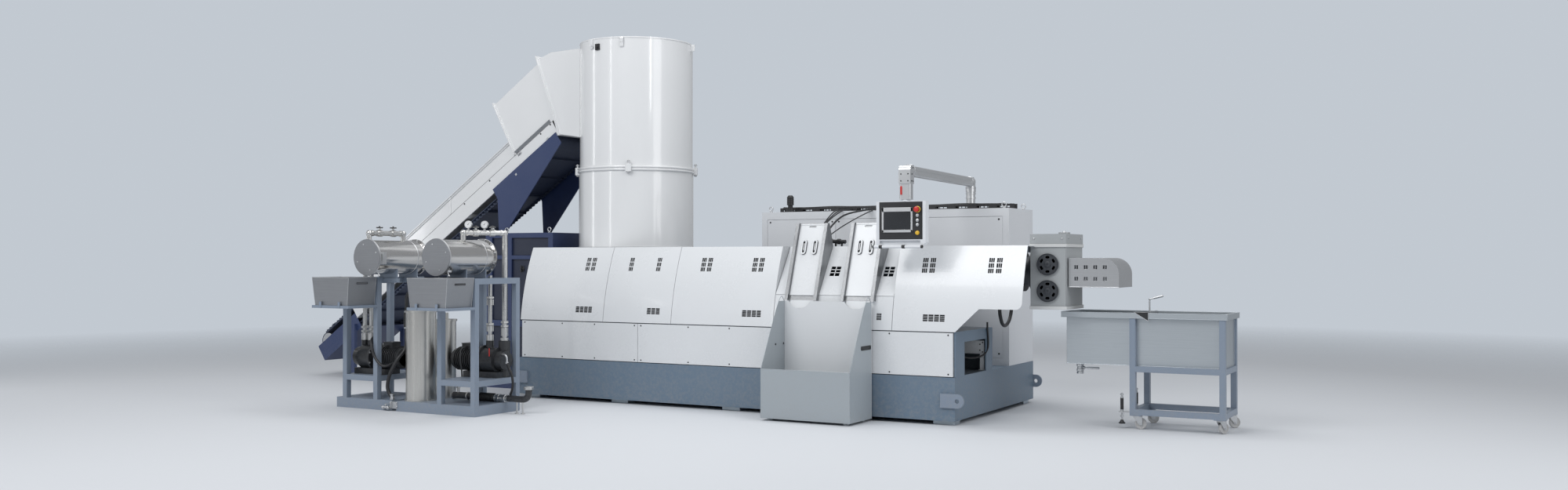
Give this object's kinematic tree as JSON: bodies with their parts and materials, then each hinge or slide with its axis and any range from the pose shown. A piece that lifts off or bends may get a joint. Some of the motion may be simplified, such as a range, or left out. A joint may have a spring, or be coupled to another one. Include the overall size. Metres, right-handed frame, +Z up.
{
  "type": "plastic pelletizing line",
  "caption": "Recycling extruder line with a feed conveyor, compactor tower, white hoods, underwater pelletizer, water tank on a cart, control cabinet with a pendant arm and vacuum skids.",
  "frame": {"origin": "centre of the sole of the front right foot pad, on the floor", "axes": "+X along the line to the right (the pelletizer's end), +Y away from the operator's side, +Z up"},
  "size_m": [10.0068, 3.754, 3.49],
  "materials": {
    "white_panels": "gloss paint",
    "base_paint": "satin paint",
    "light_frame_paint": "satin paint",
    "pale_steel": "fine brushed",
    "bright_steel": "brushed",
    "polished_steel": "polished",
    "tray_steel": "dull",
    "navy_paint": "satin paint",
    "black_parts": "satin",
    "belt_rubber": "matt",
    "machine_grey": "satin paint",
    "dark_iron": "satin",
    "wheel_plastic": "satin",
    "aluminium_profile": "anodised"
  },
  "bodies": {
    "line": {"base_frame": "base_paint", "base_feet": "light_frame_paint", "lifting_lugs": "light_frame_paint", "side_panels": "white_panels", "end_frame": "base_paint", "core_housing": "base_paint", "left_hoods": "white_panels", "centre_cover": "white_panels", "right_hood": "white_panels", "discharge_chutes": "bright_steel", "purge_bin": "pale_steel", "compactor_drum": "white_panels", "clamp_ring": "white_panels", "feed_tower": "white_panels", "tower_lid": "white_panels", "inlet_duct": "white_panels", "conveyor_head": "white_panels", "conveyor_frame": "white_panels", "conveyor_belt": "belt_rubber", "conveyor_rollers": "bright_steel", "loading_trough": "navy_paint", "gusset_plates": "navy_paint", "feed_stand": "navy_paint", "control_cabinet": "white_panels", "cabinet_panels": "white_panels", "cable_tray": "tray_steel", "beacon": "black_parts", "eye_bolts": "bright_steel", "arm_column": "aluminium_profile", "barrel": "bright_steel", "cutter_housing": "machine_grey", "cutter_lid": "machine_grey", "rotor_covers": "dark_iron", "cutter_guard": "bright_steel", "water_tank": "pale_steel", "tank_cart": "light_frame_paint", "tank_fittings": "bright_steel", "levelling_jacks": "bright_steel", "skid_frames": "light_frame_paint", "catch_trays": "tray_steel", "vacuum_tanks": "polished_steel", "tank_covers": "tray_steel", "suction_pipes": "bright_steel", "pump_sets": "dark_iron", "separators": "bright_steel", "hoses": "black_parts"},
    "arm": {"swing_arm": "aluminium_profile"},
    "pendant": {"pendant_case": "white_panels", "pendant_face": "black_parts"},
    "cover_left": {"chute_cover_left": "white_panels"},
    "cover_right": {"chute_cover_right": "white_panels"},
    "caster_1": {"caster_fork_1": "bright_steel"},
    "wheel_1": {"caster_wheel_1": "wheel_plastic"},
    "caster_2": {"caster_fork_2": "bright_steel"},
    "wheel_2": {"caster_wheel_2": "wheel_plastic"},
    "caster_3": {"caster_fork_3": "bright_steel"},
    "wheel_3": {"caster_wheel_3": "wheel_plastic"},
    "caster_4": {"caster_fork_4": "bright_steel"},
    "wheel_4": {"caster_wheel_4": "wheel_plastic"}
  },
  "joints": [
    {"name": "arm_swivel", "type": "hinge", "parent": "line", "child": "arm", "pos_m": [-0.375, 1.54, 1.97], "axis": [0, 0, 1], "range_deg": [-20, 20]},
    {"name": "pendant_swivel", "type": "hinge", "parent": "arm", "child": "pendant", "pos_m": [-0.248, -0.24, 1.83], "axis": [0, 0, -1], "range_deg": [-40, 40]},
    {"name": "cover_left_slide", "type": "slide", "parent": "line", "child": "cover_left", "axis": [0, 0.3175, 0.9483], "range_m": [0, 0.3]},
    {"name": "cover_right_slide", "type": "slide", "parent": "line", "child": "cover_right", "axis": [0, 0.3175, 0.9483], "range_m": [0, 0.3]},
    {"name": "caster_swivel_1", "type": "hinge", "parent": "line", "child": "caster_1", "pos_m": [1.429, 0.424, 0.1], "axis": [0, 0, 1], "continuous": true},
    {"name": "caster_swivel_2", "type": "hinge", "parent": "line", "child": "caster_2", "pos_m": [2.066, 0.424, 0.1], "axis": [0, 0, 1], "continuous": true},
    {"name": "caster_swivel_3", "type": "hinge", "parent": "line", "child": "caster_3", "pos_m": [1.429, 0.846, 0.1], "axis": [0, 0, 1], "continuous": true},
    {"name": "caster_swivel_4", "type": "hinge", "parent": "line", "child": "caster_4", "pos_m": [2.066, 0.846, 0.1], "axis": [0, 0, 1], "continuous": true},
    {"name": "wheel_spin_1", "type": "hinge", "parent": "caster_1", "child": "wheel_1", "pos_m": [1.4603, 0.43065, 0.044], "axis": [-0.2079, 0.9781, 0], "continuous": true},
    {"name": "wheel_spin_2", "type": "hinge", "parent": "caster_2", "child": "wheel_2", "pos_m": [2.082, 0.45171, 0.044], "axis": [-0.866, 0.5, 0], "continuous": true},
    {"name": "wheel_spin_3", "type": "hinge", "parent": "caster_3", "child": "wheel_3", "pos_m": [1.45823, 0.85902, 0.044], "axis": [-0.4067, 0.9135, 0], "continuous": true},
    {"name": "wheel_spin_4", "type": "hinge", "parent": "caster_4", "child": "wheel_4", "pos_m": [2.09051, 0.86657, 0.044], "axis": [-0.6428, 0.766, 0], "continuous": true}
  ]
}
